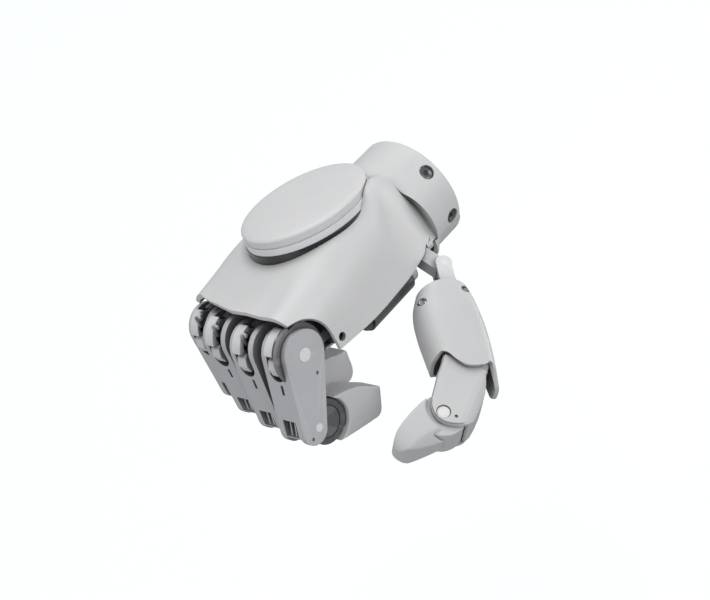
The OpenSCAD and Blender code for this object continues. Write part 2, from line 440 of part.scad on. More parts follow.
// inner frame: fork round the yoke, spine, lug inside the proximal
module thumb_frame() color([0.72, 0.73, 0.75]) at_meta() difference() {
  union() {
    for (s = [-1, 1]) translate(RPM + [0, s * (YL + 1.65), 0]) ycyl(4.3, 2.7);
    for (s = [-1, 1]) translate([RPM[0], s * (YL + 1.65) - 1.35, RPM[2] - 4.3]) cube([13, 2.7, 8]);
    translate([14.8, -YL - 3, -6.5]) cube([6, 2 * YL + 6, 13]);
    translate([20, -3, -6]) cube([26, 6, 9]);
    translate([45.5, -FW, -6]) cube([meta_len - 45.5, 2 * FW, 11]);
    translate([meta_len, 0, 0]) ycyl(7, 2 * FW);
    // ties to the cover
    translate([36, -meta_w / 2 + 2.6, -3]) cube([4, meta_w - 5.2, 4]);
  }
  translate(RPM) ycyl(2, 40);
  translate([meta_len, 0, 0]) ycyl(2.8, 40);
}
module thumb_drive() color([0.3, 0.31, 0.33]) at_meta() for (s = [-1, 1]) translate([21.2, s * 7.2, -1]) rotate([0, 90, 0]) cylinder(h = 14, r = 3.9);
// metacarpal cover: rounded shell, open at both ends, tongue over the joint
function m_up(x) = tabs(x, [[17, 10.4], [22, 12.4], [30, 14], [43, 15.6], [57, 15.8], [70, 15], [84, 13.4]]);
function m_dn(x) = tabs(x, [[17, 13], [22, 16.6], [30, 18.4], [43, 18.3], [57, 16.8], [70, 15.4]]);
function m_w(x) = tabs(x, [[17, 12.2], [24, 13.8], [32, meta_w / 2], [66, meta_w / 2], [84, meta_w / 2 - 1]]);
// flank outline of the open end by height: hook, S, notch, tongue
ME = [[-19, 61], [-16, 60.6], [-14, 59.2], [-12, 58.4], [-9.4, 60], [-6.6, 64.6], [-3, 68.2], [0, 69.4], [5, 70], [9, 69.4], [11, 67.4], [12.4, 66.8], [13.2, 70], [14, 77], [15, 79.4], [17, 80]];
function m_end(z) = (tab(z - 0.5, ME) + 2 * tab(z, ME) + tab(z + 0.5, ME)) / 4;
function m_beg(z) = 17 + 0.0135 * pow(z + 2, 2);
function m_pt(u, t, d) = let (p = 2 / 2.9, c = cos(t), s = sin(t),
    z0 = s > 0 ? 15.4 * spow(s, p) : 17.4 * spow(s, p), x = lerp(m_beg(z0), m_end(z0), u))
  [x, (m_w(x) - d) * spow(c, p), s > 0 ? (m_up(x) - d) * spow(s, p) : (m_dn(x) - d) * spow(s, p)];
// steps round the section, closer together at the flanks
MM = 64;
function m_t(j) = let (v = 360 * j / MM) v - 9 * sin(2 * v);
module thumb_metacarpal() color([0.84, 0.84, 0.85]) at_meta() resize([0, 0, 0]) difference() {
  union() {
    n = 16; m = MM;
    pts = concat([for (i = [0:n], j = [0:m - 1]) m_pt(i / n, m_t(j), 0)], [for (i = [0:n], j = [0:m - 1]) m_pt(i / n, m_t(j), 2)]);
    q = (n + 1) * m;
    polyhedron(points = pts, convexity = 6, faces = concat(
      [for (i = [0:n - 1], j = [0:m - 1], t = [0, 1]) let (k = (j + 1) % m, A = i * m + j, B = i * m + k, C = (i + 1) * m + k, D = (i + 1) * m + j) t == 0 ? [A, B, C] : [A, C, D]],
      [for (i = [0:n - 1], j = [0:m - 1], t = [0, 1]) let (k = (j + 1) % m, A = q + i * m + j, B = q + i * m + k, C = q + (i + 1) * m + k, D = q + (i + 1) * m + j) t == 0 ? [A, C, B] : [A, D, C]],
      [for (j = [0:m - 1], t = [0, 1]) let (k = (j + 1) % m) t == 0 ? [j, q + k, k] : [j, q + j, q + k]],
      [for (j = [0:m - 1], t = [0, 1]) let (k = (j + 1) % m, A = n * m + j, B = n * m + k) t == 0 ? [A, B, q + B] : [A, q + B, q + A]]));
  }
  for (p = T_SCREWS, s = [-1, 1]) translate([p[0], s * 12.6, p[1]]) ycyl(2.15, 12);
}
T_SCREWS = [[28, -14.4], [24.2, 8.6]];
module thumb_screws() color([0.35, 0.35, 0.37]) at_meta() for (p = T_SCREWS, s = [-1, 1]) translate([p[0], s * (p[1] < 0 ? 8.9 : 9.7), p[1]]) ycyl(1.65, 1.6);
module thumb_mcp_pin() color([0.9, 0.9, 0.9]) at_meta() translate([meta_len, 0, 0]) ycyl(2.8, 24);
TH = 11.7; // half width of the thumb's second phalanx
TE = 8.5; // inner face of its ears
function xshift(x) = x + tprox_len - 32.4;
// flank outline, x along the phalanx, z to its back
PP = concat([for (i = [0:14]) let (t = 72 + 190 * i / 14) [12 * cos(t), 12 * sin(t)]],
  [[8, -10.6], [15, -10.2], [21, -9.2], [28, -8.2], [xshift(32), -6.8], [xshift(35), -4.3], [xshift(36.9), -1.6], [xshift(37.6), 1.8], [xshift(37.2), 5.6],
   [xshift(35.8), 9.6], [xshift(33.2), 12.8], [xshift(29.6), 14.7], [25, 15.4], [18.5, 15.4], [12, 14.5], [8, 13.2]]);
module thumb_proximal() color([0.83, 0.83, 0.84]) at_tprox() difference() {
  intersection() {
    yext(2 * TH) polygon(PP);
    // rounded back
    translate([-30, 0, 0]) rotate([90, 0, 90]) linear_extrude(height = 90) polygon([[-12.1, -30], [12.1, -30], [12.1, 7.4], [11.7, 9.2], [10.8, 11.4], [9.4, 13.4], [7.6, 14.9], [5.4, 15.6], [-5.4, 15.6], [-7.6, 14.9], [-9.4, 13.4], [-10.8, 11.4], [-11.7, 9.2], [-12.1, 7.4]]);
    // the edges of both flanks are broken by a narrow slope
    union() {
      yext(2 * TH) translate([0.4, 0.1]) scale([0.972, 0.94]) polygon(PP);
      yext(2 * TH - 2) polygon(PP);
    }
  }
  // corners turned down inside the metacarpal cover
  difference() {
    translate([-20, -20, -20]) cube([22, 40, 40]);
    rotate([90, 0, 0]) rotate_extrude($fn = 72) polygon([[0, -12.4], [4.9, -12.4], [6.3, -11.6], [8.6, -10.8], [9.9, -9.8], [11.3, -8.6], [11.3, 8.6], [9.9, 9.8], [8.6, 10.8], [6.3, 11.6], [4.9, 12.4], [0, 12.4]]);
  }
  // fork round the metacarpal lug
  translate([-20, -TE, -30]) cube([20, 2 * TE, 60]);
  ycyl(10.6, 2 * TE, 64);
  translate([0, -TE, -30]) cube([9, 2 * TE, 30]);
  ycyl(2.84, 40);
  // fork round the outer phalanx
  translate([tprox_len, 0, 0]) ycyl(11.9, 2 * TE, 64);
  translate([tprox_len, -TE, -30]) cube([20, 2 * TE, 60]);
  translate([tprox_len - 7, -TE, -30]) cube([20, 2 * TE, 30]);
  translate([tprox_len, 0, 0]) ycyl(2.5, 40);
  for (s = [-1, 1]) translate([tprox_len, s * TH, 0]) ycyl(3.6, 2.4);
  for (s = [-1, 1]) translate([tprox_len, s * TH, 6.4]) ycyl(0.9, 2, 20);
}
module thumb_ip_pin() color([0.95, 0.95, 0.95]) at_tprox() translate([tprox_len, 0, 0]) { ycyl(2.5, 2 * TH - 2.4); for (s = [-1, 1]) translate([0, s * (TH - 0.95), 0]) ycyl(3.1, 0.5); }
module thumb_core() color(DCOL) at_tip() difference() {
  union() { ycyl(11.4, 2 * TE - 0.6, 64); translate([0, -6.4, -9]) cube([16, 12.8, 12.6]); }
  ycyl(2.54, 60);
}
TP = [[-3, -11.6], [3, -11.5], [8, -11.1], [14, -10.3], [19, -9.4], [23, -8.3], [25.8, -6.9], [27.8, -4.9], [28.6, -3], [28.4, -1.2], [27, 0.8], [24.4, 2.9], [21, 4.7], [17, 6.3], [12, 8], [7, 9.4], [3, 10.1], [-3, 10.9], [-8, 11.2]];
TK = tdist_len / 29;
module thumb_tip() color(TC) at_tip() difference() {
  intersection() {
    yext(20.6) polygon([for (q = TP) [q[0] > 0 ? q[0] * TK : q[0], q[1]]]);
    translate([0, 0, -30]) linear_extrude(height = 60) polygon(concat([for (i = [0:20]) let (t = 90 - 180 * i / 20) [(13.4 + 15.8 * spow(cos(t), 0.95)) * TK, 10.3 * spow(sin(t), 0.82)]], [[-20, -10.3], [-20, 10.3]]));
    // both upper edges slope down to the nail line
    rotate([0, 11, 0]) translate([-30, 0, 0]) rotate([90, 0, 90]) linear_extrude(height = 80) polygon([[-10.4, -30], [10.4, -30], [10.4, 4.4], [8.6, 6.6], [4.4, 10.4], [0, 11.9], [-4.4, 10.4], [-8.6, 6.6], [-10.4, 4.4]]);
  }
  ycyl(11.8, 2 * TE - 0.5, 64);
  translate([-30, 0.25 - TE, -30]) cube([29.5, 2 * TE - 0.5, 60]);
  translate([0, -6.42, -9.02]) cube([16.02, 12.84, 12.64]);
  // room for the ears over the joint's travel
  for (q = [-1, 1]) translate([0, q * 12.15, 0]) yext(7.8)
    polygon([[-24, -14], [-2, -12.4], [2, -9.9], [4.2, -7.6], [5.7, -5], [6.5, -2.2], [6.8, 0.6], [6.6, 3.2], [5.9, 5.8], [4.8, 8.2], [3.2, 10.6], [1.2, 12.8], [-1.4, 15], [-6, 17], [-24, 17]]);
}

module index_proximal() color(FC) proximal(F_INDEX);
module middle_proximal() color(FC) proximal(F_MIDDLE);
module ring_proximal() color(FC) proximal(F_RING);
module little_proximal() color(FC) proximal(F_LITTLE);

dorsal_shell();
palmar_cover();
disc_cap();
disc_ring();
disc_band();
wrist_ring();
wrist_adapter();
cuff_screw_set();
wrist_connector();
palm_frame();
knuckle_block();
finger_motors();
control_board();
thumb_motor();
cover_screws();
index_proximal();
rod(F_INDEX);  // index_rod
horn(F_INDEX);  // index_horn
crank(F_INDEX);  // index_crank
mcp_pin(F_INDEX);  // index_mcp_pin
pip_pin(F_INDEX);  // index_pip_pin
color(DCOL) core(F_INDEX);  // index_core
color(TC) tip(F_INDEX);  // index_tip
middle_proximal();
rod(F_MIDDLE);  // middle_rod
horn(F_MIDDLE);  // middle_horn
crank(F_MIDDLE);  // middle_crank
mcp_pin(F_MIDDLE);  // middle_mcp_pin
pip_pin(F_MIDDLE);  // middle_pip_pin
color(DCOL) core(F_MIDDLE);  // middle_core
color(TC) tip(F_MIDDLE);  // middle_tip
ring_proximal();
rod(F_RING);  // ring_rod
horn(F_RING);  // ring_horn
crank(F_RING);  // ring_crank
mcp_pin(F_RING);  // ring_mcp_pin
pip_pin(F_RING);  // ring_pip_pin
color(DCOL) core(F_RING);  // ring_core
color(TC) tip(F_RING);  // ring_tip
little_proximal();
rod(F_LITTLE);  // little_rod
horn(F_LITTLE);  // little_horn
crank(F_LITTLE);  // little_crank
mcp_pin(F_LITTLE);  // little_mcp_pin
pip_pin(F_LITTLE);  // little_pip_pin
color(DCOL) core(F_LITTLE);  // little_core
color(TC) tip(F_LITTLE);  // little_tip
thumb_yoke();
thumb_root_pin();
thumb_metacarpal();
thumb_frame();
thumb_drive();
thumb_screws();
thumb_mcp_pin();
thumb_proximal();
thumb_ip_pin();
thumb_core();
thumb_tip();
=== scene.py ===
import bpy
import json
import math
from mathutils import Matrix, Vector

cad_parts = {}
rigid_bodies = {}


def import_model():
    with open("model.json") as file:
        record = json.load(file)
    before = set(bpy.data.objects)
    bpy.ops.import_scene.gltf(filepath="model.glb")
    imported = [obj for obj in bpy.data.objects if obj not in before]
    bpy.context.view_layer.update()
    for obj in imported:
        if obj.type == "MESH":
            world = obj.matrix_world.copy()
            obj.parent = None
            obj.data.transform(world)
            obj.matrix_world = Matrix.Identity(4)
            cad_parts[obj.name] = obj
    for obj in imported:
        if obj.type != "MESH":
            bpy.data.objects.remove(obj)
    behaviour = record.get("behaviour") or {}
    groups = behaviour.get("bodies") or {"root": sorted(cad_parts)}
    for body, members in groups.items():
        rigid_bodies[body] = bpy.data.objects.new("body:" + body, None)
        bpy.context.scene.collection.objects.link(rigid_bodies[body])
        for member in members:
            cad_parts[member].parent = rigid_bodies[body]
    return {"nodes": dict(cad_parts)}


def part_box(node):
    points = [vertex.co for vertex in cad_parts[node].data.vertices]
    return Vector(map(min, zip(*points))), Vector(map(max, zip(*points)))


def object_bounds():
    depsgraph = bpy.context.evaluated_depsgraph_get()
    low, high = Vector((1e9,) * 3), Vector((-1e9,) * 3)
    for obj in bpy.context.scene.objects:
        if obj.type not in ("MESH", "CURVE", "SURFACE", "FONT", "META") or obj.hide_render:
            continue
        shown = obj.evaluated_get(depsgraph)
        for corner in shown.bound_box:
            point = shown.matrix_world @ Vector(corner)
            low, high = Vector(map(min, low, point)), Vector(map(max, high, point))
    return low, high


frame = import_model()
cad_lo, cad_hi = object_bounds()
NODES = frame["nodes"]
FINGERS = ("index", "middle", "ring", "little")

# ---------------------------------------------------------------- camera
R = Vector((0.608, -0.679, -0.412)).normalized()
V = Vector((-0.484, -0.729, 0.485)).normalized()
U = V.cross(R).normalized()
R = U.cross(V).normalized()
PIVOT = Vector((-0.070, 0.0, 0.0))
CAM_AT = PIVOT + V * 0.850
cam_data = bpy.data.cameras.new("camera")
cam = bpy.data.objects.new("camera", cam_data)
bpy.context.scene.collection.objects.link(cam)
cam.matrix_world = Matrix((
    (R.x, U.x, V.x, CAM_AT.x),
    (R.y, U.y, V.y, CAM_AT.y),
    (R.z, U.z, V.z, CAM_AT.z),
    (0, 0, 0, 1)))
cam_data.sensor_width = 36
cam_data.lens = 1649 * 36 / 710
cam_data.shift_x = 0.0316
cam_data.shift_y = -0.0421
cam_data.clip_start = 0.02
cam_data.clip_end = 60
bpy.context.scene.camera = cam


# ---------------------------------------------------------------- material helpers
class Mat:
    """A small builder for node materials. Positions are the row frame in metres (Object coordinates)."""

    def __init__(self, name):
        self.m = bpy.data.materials.new(name)
        self.m.use_nodes = True
        self.nt = self.m.node_tree
        self.nt.nodes.clear()
        self.out = self.nt.nodes.new("ShaderNodeOutputMaterial")
        self.b = self.nt.nodes.new("ShaderNodeBsdfPrincipled")
        self.nt.links.new(self.b.outputs[0], self.out.inputs[0])
        self.co = self.nt.nodes.new("ShaderNodeTexCoord").outputs["Object"]
        self.height = None

    def n(self, kind, **kw):
        node = self.nt.nodes.new(kind)
        for k, v in kw.items():
            setattr(node, k, v)
        return node

    def link(self, a, b):
        self.nt.links.new(a, b)

    def math(self, op, a, b=None, c=None, clamp=False):
        node = self.n("ShaderNodeMath", operation=op, use_clamp=clamp)
        for i, v in enumerate((a, b, c)):
            if v is None:
                continue
            if isinstance(v, (int, float)):
                node.inputs[i].default_value = v
            else:
                self.link(v, node.inputs[i])
        return node.outputs[0]

    def vmath(self, op, a, b=None, out=0):
        node = self.n("ShaderNodeVectorMath", operation=op)
        for i, v in enumerate((a, b)):
            if v is None:
                continue
            if isinstance(v, (tuple, list, Vector)):
                node.inputs[i].default_value = tuple(v)
            else:
                self.link(v, node.inputs[i])
        return node.outputs[out]

    def noise(self, scale, detail=2.0, rough=0.5, stretch=None, dist=0.0):
        t = self.n("ShaderNodeTexNoise")
        t.inputs["Scale"].default_value = scale
        t.inputs["Detail"].default_value = detail
        t.inputs["Roughness"].default_value = rough
        t.inputs["Distortion"].default_value = dist
        src = self.co
        if stretch:
            src = self.vmath("MULTIPLY", src, stretch)
        self.link(src, t.inputs["Vector"])
        return t.outputs[0]

    def ramp(self, fac, stops, interp="LINEAR"):
        r = self.n("ShaderNodeValToRGB")
        r.color_ramp.interpolation = interp
        el = r.color_ramp.elements
        while len(el) < len(stops):
            el.new(0.5)
        for i, (p, c) in enumerate(stops):
            el[i].position = p
            el[i].color = (c[0], c[1], c[2], 1) if isinstance(c, (tuple, list)) else (c, c, c, 1)
        self.link(fac, r.inputs[0])
        return r.outputs[0]

    def mix(self, fac, a, b, blend="MIX"):
        x = self.n("ShaderNodeMix", data_type="RGBA", blend_type=blend)
        if isinstance(fac, (int, float)):
            x.inputs[0].default_value = fac
        else:
            self.link(fac, x.inputs[0])
        for i, v in ((6, a), (7, b)):
            if isinstance(v, (tuple, list)):
                x.inputs[i].default_value = (v[0], v[1], v[2], 1)
            else:
                self.link(v, x.inputs[i])
        return x.outputs[2]

    def edge(self, lo=0.515, hi=0.56):
        g = self.n("ShaderNodeNewGeometry").outputs["Pointiness"]
        return self.math("DIVIDE", self.math("SUBTRACT", g, lo), hi - lo, clamp=True)

    def bump(self, fac, strength, distance, prev=None):
        b = self.n("ShaderNodeBump")
        b.inputs["Strength"].default_value = strength
        b.inputs["Distance"].default_value = distance
        self.link(fac, b.inputs["Height"])
        if prev is not None:
            self.link(prev, b.inputs["Normal"])
        return b.outputs[0]

    def painted_shade(self, col, reach, floor):
        """Painted shade: darkens the colour by ambient occlusion where surfaces face each other closely."""
        ao = self.n("ShaderNodeAmbientOcclusion", samples=8)
        ao.inputs["Distance"].default_value = reach
        f = self.math("POWER", ao.outputs["AO"], 1.5)
        dark = self.mix(1.0, col, (floor, floor, floor), "MULTIPLY")
        return self.mix(f, dark, col)

    def done(self, color, rough, normal=None, **kw):
        if isinstance(color, (tuple, list)):
            self.b.inputs["Base Color"].default_value = (color[0], color[1], color[2], 1)
        else:
            self.link(color, self.b.inputs["Base Color"])
        if isinstance(rough, (int, float)):
            self.b.inputs["Roughness"].default_value = rough
        else:
            self.link(rough, self.b.inputs["Roughness"])
        if normal is not None:
            self.link(normal, self.b.inputs["Normal"])
        for k, v in kw.items():
            self.b.inputs[k.replace("_", " ")].default_value = v
        return self.m


def scale3(c, k):
    return (c[0] * k, c[1] * k, c[2] * k)


def moulded(name, base, rough=0.42, vary=0.035, grain=0.6, coat=0.12, edge=0.05, shade=0.0):
    """Moulded plastic: faint cloudiness, a fine spark-eroded grain, slightly polished edges."""
    k = Mat(name)
    cloud = k.noise(38, 3, 0.55)
    col = k.ramp(cloud, [(0.25, scale3(base, 1 - vary)), (0.75, scale3(base, 1 + vary * 0.6))])
    specks = k.ramp(k.noise(2600, 2, 0.6), [(0.0, 0.0), (0.72, 0.0), (0.8, 1.0)])
    col = k.mix(k.math("MULTIPLY", specks, 0.05), col, scale3(base, 0.8))
    e = k.edge()
    col = k.mix(k.math("MULTIPLY", e, edge), col, (1, 1, 1))
    # painted shade: ambient occlusion darkens the colour in creases and panel gaps
    if shade:
        col = k.painted_shade(col, 0.006, shade)
    ro = k.math("ADD", k.math("MULTIPLY", k.noise(220, 3, 0.6), 0.14), rough - 0.07)
    ro = k.math("SUBTRACT", ro, k.math("MULTIPLY", e, 0.08))
    nor = k.bump(k.noise(5200, 2, 0.6), 0.35 * grain, 0.00002)
    nor = k.bump(k.noise(420, 3, 0.5), 0.12 * grain, 0.00004, nor)
    return k.done(col, ro, nor, Coat_Weight=coat, Coat_Roughness=0.25, IOR=1.46)


def metal(name, base, metallic=0.6, rough=0.34, stretch=(1, 1, 1), brush=0.5, vary=0.06, edge=0.25, coat=0.0, shade=0.0):
    """Satin metal: bead-blasted or brushed grain, thumbed patches, bright edges."""
    k = Mat(name)
    cloud = k.noise(60, 4, 0.6)
    col = k.ramp(cloud, [(0.2, scale3(base, 1 - vary)), (0.8, scale3(base, 1 + vary * 0.5))])
    line = k.noise(900, 3, 0.65, stretch)
    col = k.mix(k.math("MULTIPLY", line, 0.14), col, scale3(base, 0.72))
    e = k.edge(0.51, 0.58)
    col = k.mix(k.math("MULTIPLY", e, edge), col, (0.93, 0.935, 0.95))
    # painted shade: ambient occlusion darkens the colour between fingers and close parts
    if shade:
        col = k.painted_shade(col, 0.012, shade)
    ro = k.math("ADD", k.math("MULTIPLY", k.noise(150, 4, 0.65), 0.16), rough - 0.08)
    ro = k.math("ADD", ro, k.math("MULTIPLY", line, 0.05))
    nor = k.bump(line, 0.3 * brush, 0.00003)
    nor = k.bump(k.noise(4200, 2, 0.6), 0.25 * brush, 0.00002, nor)
    return k.done(col, ro, nor, Metallic=metallic, Coat_Weight=coat, Coat_Roughness=0.2)


def turned(name, base, centre, axis, metallic=0.6, rough=0.28):
    """Turned pin: fine concentric tool marks on the ends, round marks along the shaft."""
    k = Mat(name)
    axis = Vector(axis).normalized()
    rel = k.vmath("SUBTRACT", k.co, tuple(centre))
    along = k.vmath("DOT_PRODUCT", rel, tuple(axis), out=1)
    radius = k.vmath("LENGTH", k.vmath("CROSS_PRODUCT", rel, tuple(axis)), out=1)
    rings = k.math("SINE", k.math("MULTIPLY", radius, 2 * math.pi / 0.0007))
    turns = k.math("SINE", k.math("MULTIPLY", along, 2 * math.pi / 0.0003))
    marks = k.math("ADD", rings, k.math("MULTIPLY", turns, 0.6))
    cloud = k.noise(300, 3, 0.6)
    col = k.ramp(cloud, [(0.2, scale3(base, 0.95)), (0.8, scale3(base, 1.03))])
    col = k.mix(k.math("MULTIPLY", k.math("ADD", marks, 1.0, clamp=True), 0.04), col, scale3(base, 0.7))
    e = k.edge(0.51, 0.58)
    col = k.mix(k.math("MULTIPLY", e, 0.3), col, (1, 1, 1))
    ro = k.math("ADD", k.math("MULTIPLY", cloud, 0.12), rough - 0.06)
    nor = k.bump(marks, 0.04, 0.00001)
    nor = k.bump(k.noise(5200, 2, 0.5), 0.15, 0.00001, nor)
    return k.done(col, ro, nor, Metallic=metallic)


def band_glass(name):
    """Smoked sensor window: near black, with a painted reflection that makes it paler towards the lit end."""
    k = Mat(name)
    x = k.n("ShaderNodeSeparateXYZ")
    k.link(k.co, x.inputs[0])
    # painted reflection: the colour pales as x rises towards the lit end of the band
    t = k.math("DIVIDE", k.math("ADD", x.outputs[0], 0.106), 0.048, clamp=True)
    t = k.math("ADD", t, k.math("MULTIPLY", k.math("SUBTRACT", k.noise(90, 2, 0.5), 0.5), 0.05))
    col = k.ramp(t, [(0.0, (0.012, 0.012, 0.014)), (0.3, (0.006, 0.006, 0.007)), (0.6, (0.012, 0.012, 0.014)),
                     (0.82, (0.05, 0.05, 0.055)), (1.0, (0.12, 0.12, 0.13))])
    cells = k.n("ShaderNodeTexVoronoi", feature="DISTANCE_TO_EDGE")
    cells.inputs["Scale"].default_value = 700
    k.link(k.co, cells.inputs["Vector"])
    seen = k.math("LESS_THAN", cells.outputs[0], 0.03)
    col = k.mix(k.math("MULTIPLY", seen, 0.05), col, (0.3, 0.3, 0.33))
    ro = k.math("ADD", k.math("MULTIPLY", k.noise(180, 3, 0.6), 0.1), 0.14)
    nor = k.bump(k.noise(500, 2, 0.5), 0.05, 0.00002)
    return k.done(col, ro, nor, Coat_Weight=0.6, Coat_Roughness=0.06, IOR=1.5)


def board(name):
    k = Mat(name)
    tr = k.n("ShaderNodeTexBrick")
    tr.inputs["Scale"].default_value = 320
    tr.inputs["Mortar Size"].default_value = 0.035
    tr.inputs["Color1"].default_value = (0.012, 0.085, 0.04, 1)
    tr.inputs["Color2"].default_value = (0.016, 0.1, 0.05, 1)
    tr.inputs["Mortar"].default_value = (0.05, 0.2, 0.1, 1)
    k.link(k.co, tr.inputs["Vector"])
    z = k.n("ShaderNodeSeparateXYZ")
    k.link(k.co, z.inputs[0])
    chip = k.math("GREATER_THAN", z.outputs[2], 0.02665)
    col = k.mix(chip, tr.outputs[0], (0.02, 0.02, 0.022))
    ro = k.math("ADD", k.math("MULTIPLY", k.noise(400, 3, 0.6), 0.2), 0.3)
    nor = k.bump(tr.outputs[1], 0.2, 0.00003)
    return k.done(col, ro, nor)


WHITE = (0.765, 0.765, 0.768)
# shade= paints ambient-occlusion shade into the colour of these materials
shell_white = moulded("shell_white", WHITE, rough=0.44, shade=0.22)
disc_white = moulded("disc_white", (0.80, 0.80, 0.803), rough=0.4, grain=0.4)
thumb_white = moulded("thumb_white", (0.70, 0.70, 0.705), rough=0.4, shade=0.3)
tip_white = moulded("tip_white", (0.68, 0.68, 0.685), rough=0.4)
ring_lavender = moulded("ring_lavender", (0.86, 0.875, 0.91), rough=0.36, coat=0.25)
finger_paint = metal("finger_paint", (0.80, 0.80, 0.835), metallic=0.5, rough=0.33, stretch=(0.25, 1, 0.25), brush=0.35, vary=0.035, edge=0.3, coat=0.15, shade=0.2)
link_alloy = metal("link_alloy", (0.90, 0.905, 0.92), metallic=0.1, rough=0.3, brush=0.5, vary=0.05, edge=0.3, coat=0.2, shade=0.12)
knuckle_dark = metal("knuckle_dark", (0.3, 0.3, 0.32), metallic=0.5, rough=0.3, brush=0.5, vary=0.08, edge=0.3, coat=0.1, shade=0.2)
frame_alloy = metal("frame_alloy", (0.5, 0.51, 0.54), metallic=0.8, rough=0.36, stretch=(0.2, 1, 1), brush=0.8)
rod_steel = metal("rod_steel", (0.5, 0.5, 0.53), metallic=0.9, rough=0.3, stretch=(0.1, 1, 1), brush=0.7)
flange_steel = metal("flange_steel", (0.62, 0.63, 0.66), metallic=0.8, rough=0.32, stretch=(1, 0.3, 1), brush=0.6)
core_dark = moulded("core_dark", (0.075, 0.078, 0.086), rough=0.3, vary=0.1, grain=0.4, coat=0.5, edge=0.12)
black_plastic = moulded("black_plastic", (0.02, 0.02, 0.022), rough=0.45, vary=0.1, edge=0.1)
screw_black = metal("screw_black", (0.07, 0.07, 0.078), metallic=0.6, rough=0.34, brush=0.7, edge=0.4)
screw_grey = metal("screw_grey", (0.3, 0.3, 0.32), metallic=0.75, rough=0.33, brush=0.7, edge=0.4)
motor_dark = metal("motor_dark", (0.09, 0.09, 0.1), metallic=0.5, rough=0.24, stretch=(0.15, 1, 1), brush=0.5, vary=0.1, edge=0.3, coat=0.3)
motor_case = metal("motor_case", (0.34, 0.34, 0.36), metallic=0.8, rough=0.27, stretch=(0.1, 1, 1), brush=0.6)
sensor = band_glass("sensor")
pcb = board("pcb")


# ---------------------------------------------------------------- finishing of the CAD nodes
def smooth_group(angle):
    g = bpy.data.node_groups.new(f"smooth_{int(angle)}", "GeometryNodeTree")
    g.interface.new_socket("Geometry", in_out="INPUT", socket_type="NodeSocketGeometry")
    g.interface.new_socket("Geometry", in_out="OUTPUT", socket_type="NodeSocketGeometry")
    i, o = g.nodes.new("NodeGroupInput"), g.nodes.new("NodeGroupOutput")
    s1 = g.nodes.new("GeometryNodeSetShadeSmooth")
    s1.domain = "FACE"
    s1.inputs["Shade Smooth"].default_value = True
    s2 = g.nodes.new("GeometryNodeSetShadeSmooth")
    s2.domain = "EDGE"
    ang = g.nodes.new("GeometryNodeInputMeshEdgeAngle")
    cmp = g.nodes.new("FunctionNodeCompare")
    cmp.data_type = "FLOAT"
    cmp.operation = "LESS_EQUAL"
    cmp.inputs[1].default_value = math.radians(angle)
    g.links.new(ang.outputs[0], cmp.inputs[0])
    g.links.new(cmp.outputs[0], s2.inputs["Shade Smooth"])
    g.links.new(i.outputs[0], s1.inputs[0])
    g.links.new(s1.outputs[0], s2.inputs[0])
    g.links.new(s2.outputs[0], o.inputs[0])
    return g


SMOOTH = {a: smooth_group(a) for a in (26, 40, 60)}


def finish(node, material, bevel=0.0, segments=2, angle=26, limit=32, flat=0):
    o = NODES[node]
    o.data.materials.clear()
    o.data.materials.append(material)
    if "custom_normal" in o.data.attributes:
        o.data.attributes.remove(o.data.attributes["custom_normal"])
    for at in list(o.data.attributes):
        if at.name in ("sharp_face", "sharp_edge"):
            o.data.attributes.remove(at)
    for p in o.data.polygons:
        p.use_smooth = True
        p.material_index = 0
    w = o.modifiers.new("weld", "WELD")
    w.merge_threshold = 2e-6
    if flat:
        d = o.modifiers.new("planar", "DECIMATE")
        d.decimate_type = "DISSOLVE"
        d.angle_limit = math.radians(flat)
    if bevel:
        b = o.modifiers.new("bevel", "BEVEL")
        b.width = bevel
        b.segments = segments
        b.limit_method = "ANGLE"
        b.angle_limit = math.radians(limit)
        b.use_clamp_overlap = True
        b.harden_normals = False
        b.miter_outer = "MITER_ARC"
    s = o.modifiers.new("smooth", "NODES")
    s.node_group = SMOOTH[angle]
    if bevel:
        wn = o.modifiers.new("weighted", "WEIGHTED_NORMAL")
        wn.keep_sharp = True
        wn.weight = 80
    return o


def soften(node, material, voxel, rounds, factor=0.5):
    """Cast or moulded pieces: the hard CAD edges become rounded ones."""
    o = finish(node, material)
    for m in list(o.modifiers):
        o.modifiers.remove(m)
    w = o.modifiers.new("weld", "WELD")
    w.merge_threshold = 2e-6
    r = o.modifiers.new("remesh", "REMESH")
    r.mode = "VOXEL"
    r.voxel_size = voxel
    r.use_smooth_shade = True
    k = o.modifiers.new("round", "SMOOTH")
    k.factor = factor
    k.iterations = rounds
    return o


def mid(node):
    a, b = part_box(node)
    return (a + b) / 2


finish("dorsal_shell", shell_white, angle=40)
finish("palmar_cover", shell_white, angle=40)
finish("disc_cap", disc_white, angle=40)
finish("disc_ring", ring_lavender, 0.00025, 2)
finish("disc_band", sensor, 0.0002, 2)
finish("wrist_ring", flange_steel, 0.0002)
finish("wrist_adapter", flange_steel, 0.00025)
finish("cuff_screw_set", screw_black, 0.0001)
finish("wrist_connector", black_plastic, 0.00012)
finish("palm_frame", frame_alloy, 0.0002)
finish("knuckle_block", knuckle_dark, 0.0003)
finish("finger_motors", motor_dark, 0.0002)
finish("control_board", pcb)
finish("thumb_motor", motor_dark, 0.0003)
finish("cover_screws", screw_grey, 0.0001)
finish("thumb_yoke", link_alloy, 0.0004, 3)
finish("thumb_metacarpal", thumb_white, angle=40)
finish("thumb_frame", link_alloy, 0.0003)
finish("thumb_drive", motor_case, 0.0002)
finish("thumb_screws", screw_grey, 0.0001)
finish("thumb_proximal", thumb_white, 0.0004, 3, flat=1)
soften("thumb_core", tip_white, 0.0004, 6)
soften("thumb_tip", tip_white, 0.0004, 30)
T_AXIS = (0, 0.587785, -0.809017)
for n in ("thumb_root_pin", "thumb_mcp_pin", "thumb_ip_pin"):
    finish(n, turned(n + "_steel", (0.94, 0.94, 0.945), mid(n), T_AXIS, metallic=0.1))
